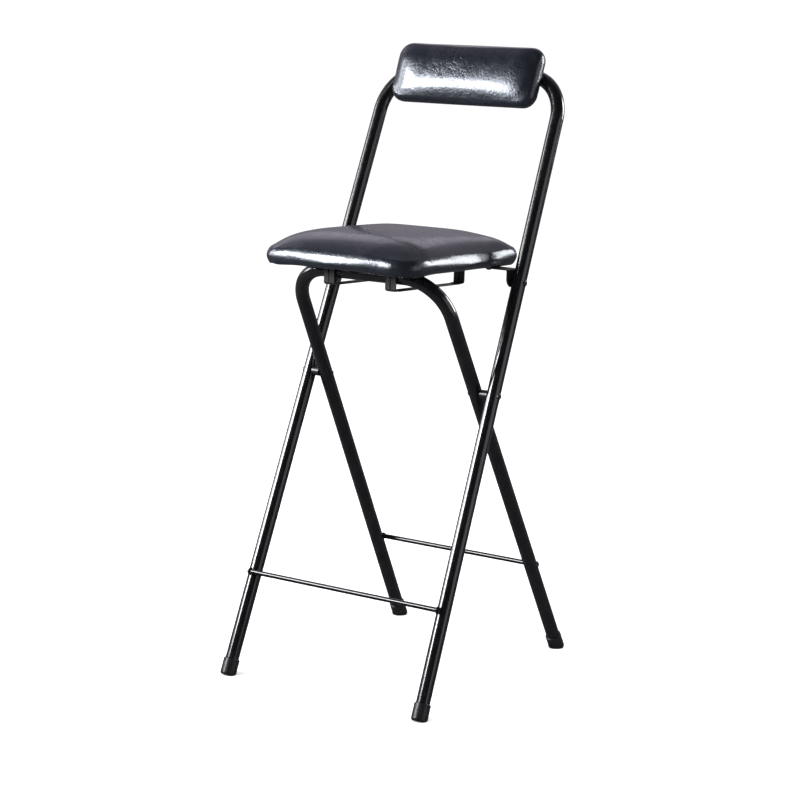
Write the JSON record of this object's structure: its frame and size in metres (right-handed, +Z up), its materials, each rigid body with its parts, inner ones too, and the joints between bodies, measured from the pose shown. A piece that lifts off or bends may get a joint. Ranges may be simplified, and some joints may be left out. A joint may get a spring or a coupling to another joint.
{
  "type": "folding bar stool with backrest",
  "caption": "Folding bar-height stool with two crossed leg frames of bent steel tube, footrest rods, foot caps, and a padded seat and backrest.",
  "frame": {"origin": "on the floor, midway between the front and the rear feet and between the left and the right legs, with the stool open", "axes": "+Z up, -Y to the sitter's front, +X to the stool's right as seen from the front"},
  "size_m": [0.4022, 0.4555, 0.9866],
  "materials": {
    "gloss_black_tube": "gloss powder coat",
    "gloss_black_rod": "gloss powder coat",
    "black_cap_plastic": "satin moulded plastic",
    "black_rivet_steel": "satin black",
    "black_nylon": "matt",
    "black_leatherette": "glossy, fine grain",
    "plywood": "raw",
    "black_lining": "non-woven",
    "black_bracket_steel": "semi-gloss black",
    "zinc_screw": "zinc plated"
  },
  "bodies": {
    "main_frame": {"main_frame_tube": "gloss_black_tube", "front_footrest_rod": "gloss_black_rod", "front_foot_cap_left": "black_cap_plastic", "front_foot_cap_right": "black_cap_plastic", "pivot_rivet_left": "black_rivet_steel", "pivot_rivet_right": "black_rivet_steel", "hinge_rivet_left": "black_rivet_steel", "hinge_rivet_right": "black_rivet_steel", "pivot_spacer_left": "black_nylon", "pivot_spacer_right": "black_nylon", "hinge_washers": "black_nylon", "backrest_board": "plywood", "backrest_cushion": "black_leatherette", "backrest_back_panel": "black_lining", "backrest_bolts": "zinc_screw", "backrest_tee_nuts": "zinc_screw"},
    "rear_leg_frame": {"rear_leg_tube": "gloss_black_tube", "rear_footrest_rod": "gloss_black_rod", "rear_foot_cap_left": "black_cap_plastic", "rear_foot_cap_right": "black_cap_plastic"},
    "seat": {"seat_board": "plywood", "seat_cushion": "black_leatherette", "seat_bottom_cover": "black_lining", "seat_guide_front_left": "black_bracket_steel", "seat_guide_front_right": "black_bracket_steel", "seat_guide_rear_left": "black_bracket_steel", "seat_guide_rear_right": "black_bracket_steel", "guide_screws": "zinc_screw", "hinge_bracket_left": "black_bracket_steel", "hinge_bracket_right": "black_bracket_steel", "bracket_screws": "zinc_screw"}
  },
  "joints": [
    {"name": "rear_leg_fold", "type": "hinge", "parent": "main_frame", "child": "rear_leg_frame", "pos_m": [0, -0.0082, 0.46534], "axis": [-1, 0, 0], "range_deg": [0, 49.5]},
    {"name": "seat_fold", "type": "hinge", "parent": "main_frame", "child": "seat", "pos_m": [0, 0.0665, 0.6321], "axis": [-1, 0, 0], "range_deg": [0, 104]}
  ],
  "couplings": [
    {"joint": "seat_fold", "follows": "rear_leg_fold", "ratio": 2.1}
  ]
}
